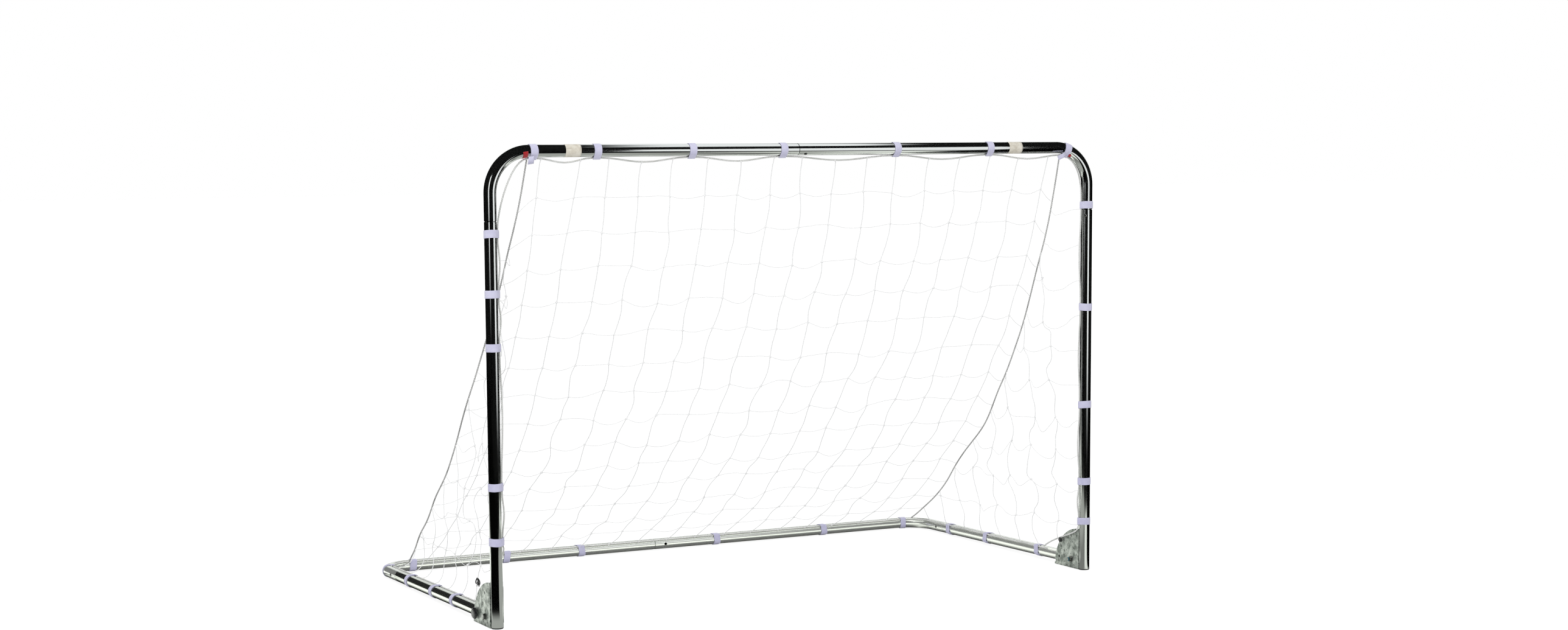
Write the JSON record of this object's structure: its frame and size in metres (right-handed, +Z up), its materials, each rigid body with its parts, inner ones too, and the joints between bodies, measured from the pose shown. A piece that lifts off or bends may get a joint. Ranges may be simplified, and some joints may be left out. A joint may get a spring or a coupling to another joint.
{
  "type": "folding soccer goal",
  "caption": "Folding soccer goal: round steel tube front frame, base frame on hinge brackets, snap-button tube joints, and a draped net tied on with hook-and-loop straps.",
  "frame": {"origin": "on the ground, under the centre of the goal's bounding box", "axes": "+X along the crossbar to the right as seen by a player facing the mouth, +Y from the mouth to the rear, +Z up"},
  "size_m": [1.857, 0.9504, 1.2211],
  "materials": {
    "galvanised_tube": "bright galvanised",
    "zinc_sheet": "dull zinc",
    "bright_steel": "bright",
    "black_plastic": "matt",
    "white_cord": "matt",
    "strap_fabric": "matt"
  },
  "bodies": {
    "front_frame": {"crossbar_left": "galvanised_tube", "crossbar_right": "galvanised_tube", "foot_cap_left": "black_plastic", "foot_cap_right": "black_plastic", "front_border_rope": "white_cord", "hinge_plate_left_inner": "zinc_sheet", "hinge_plate_left_outer": "zinc_sheet", "hinge_plate_right_inner": "zinc_sheet", "hinge_plate_right_outer": "zinc_sheet", "net": "white_cord", "pivot_bolt_left": "bright_steel", "pivot_bolt_right": "bright_steel", "strap_crossbar_1": "strap_fabric", "strap_crossbar_2": "strap_fabric", "strap_crossbar_3": "strap_fabric", "strap_crossbar_4": "strap_fabric", "strap_crossbar_5": "strap_fabric", "strap_crossbar_6": "strap_fabric", "strap_crossbar_7": "strap_fabric", "strap_upright_left_1": "strap_fabric", "strap_upright_left_2": "strap_fabric", "strap_upright_left_3": "strap_fabric", "strap_upright_left_4": "strap_fabric", "strap_upright_left_5": "strap_fabric", "strap_upright_right_1": "strap_fabric", "strap_upright_right_2": "strap_fabric", "strap_upright_right_3": "strap_fabric", "strap_upright_right_4": "strap_fabric", "strap_upright_right_5": "strap_fabric", "upright_left": "galvanised_tube", "upright_right": "galvanised_tube"},
    "base_frame": {"base_border_rope": "white_cord", "rear_bar_left": "galvanised_tube", "rear_bar_right": "galvanised_tube", "side_tube_left": "galvanised_tube", "side_tube_right": "galvanised_tube", "strap_rear_1": "strap_fabric", "strap_rear_2": "strap_fabric", "strap_rear_3": "strap_fabric", "strap_rear_4": "strap_fabric", "strap_rear_5": "strap_fabric", "strap_rear_6": "strap_fabric", "strap_side_left_1": "strap_fabric", "strap_side_left_2": "strap_fabric", "strap_side_left_3": "strap_fabric", "strap_side_left_4": "strap_fabric", "strap_side_right_1": "strap_fabric", "strap_side_right_2": "strap_fabric", "strap_side_right_3": "strap_fabric"},
    "lock_button_left_body": {"lock_button_left": "bright_steel"},
    "lock_button_right_body": {"lock_button_right": "bright_steel"},
    "release_knob_left_body": {"release_knob_left": "black_plastic"},
    "release_knob_right_body": {"release_knob_right": "black_plastic"},
    "snap_button_crossbar_body": {"snap_button_crossbar": "bright_steel"},
    "snap_button_rear_bar_body": {"snap_button_rear_bar": "bright_steel"},
    "snap_button_side_left_body": {"snap_button_side_left": "bright_steel"},
    "snap_button_side_right_body": {"snap_button_side_right": "bright_steel"},
    "snap_button_upright_left_body": {"snap_button_upright_left": "bright_steel"},
    "snap_button_upright_right_body": {"snap_button_upright_right": "bright_steel"}
  },
  "joints": [
    {"name": "base_fold", "type": "hinge", "parent": "front_frame", "child": "base_frame", "pos_m": [0, -0.42, 0.0265], "axis": [1, 0, 0], "range_deg": [0, 90.56], "deforming": ["net"]},
    {"name": "release_left", "type": "slide", "parent": "front_frame", "child": "release_knob_left_body", "axis": [1, 0, 0], "range_m": [0, 0.004], "stiffness_N_per_m": 600, "springref_m": -0.003},
    {"name": "lock_left", "type": "slide", "parent": "base_frame", "child": "lock_button_left_body", "axis": [1, 0, 0], "range_m": [0, 0.004], "stiffness_N_per_m": 600, "springref_m": -0.003},
    {"name": "release_right", "type": "slide", "parent": "front_frame", "child": "release_knob_right_body", "axis": [-1, 0, 0], "range_m": [0, 0.004], "stiffness_N_per_m": 600, "springref_m": -0.003},
    {"name": "lock_right", "type": "slide", "parent": "base_frame", "child": "lock_button_right_body", "axis": [-1, 0, 0], "range_m": [0, 0.004], "stiffness_N_per_m": 600, "springref_m": -0.003},
    {"name": "snap_crossbar", "type": "slide", "parent": "front_frame", "child": "snap_button_crossbar_body", "axis": [0, 0.6392, 0.769], "range_m": [0, 0.004], "stiffness_N_per_m": 600, "springref_m": -0.003},
    {"name": "snap_upright_left", "type": "slide", "parent": "front_frame", "child": "snap_button_upright_left_body", "axis": [-0.7071, 0.7071, 0], "range_m": [0, 0.004], "stiffness_N_per_m": 600, "springref_m": -0.003},
    {"name": "snap_upright_right", "type": "slide", "parent": "front_frame", "child": "snap_button_upright_right_body", "axis": [0.7071, 0.7071, 0], "range_m": [0, 0.004], "stiffness_N_per_m": 600, "springref_m": -0.003},
    {"name": "snap_rear", "type": "slide", "parent": "base_frame", "child": "snap_button_rear_bar_body", "axis": [0, -1, 0.0098], "range_m": [0, 0.004], "stiffness_N_per_m": 600, "springref_m": -0.003},
    {"name": "snap_side_left", "type": "slide", "parent": "base_frame", "child": "snap_button_side_left_body", "axis": [1, 0, 0], "range_m": [0, 0.004], "stiffness_N_per_m": 600, "springref_m": -0.003},
    {"name": "snap_side_right", "type": "slide", "parent": "base_frame", "child": "snap_button_side_right_body", "axis": [-1, 0, 0], "range_m": [0, 0.004], "stiffness_N_per_m": 600, "springref_m": -0.003}
  ],
  "couplings": [
    {"joint": "lock_left", "follows": "release_left", "ratio": 1},
    {"joint": "lock_right", "follows": "release_right", "ratio": 1}
  ]
}
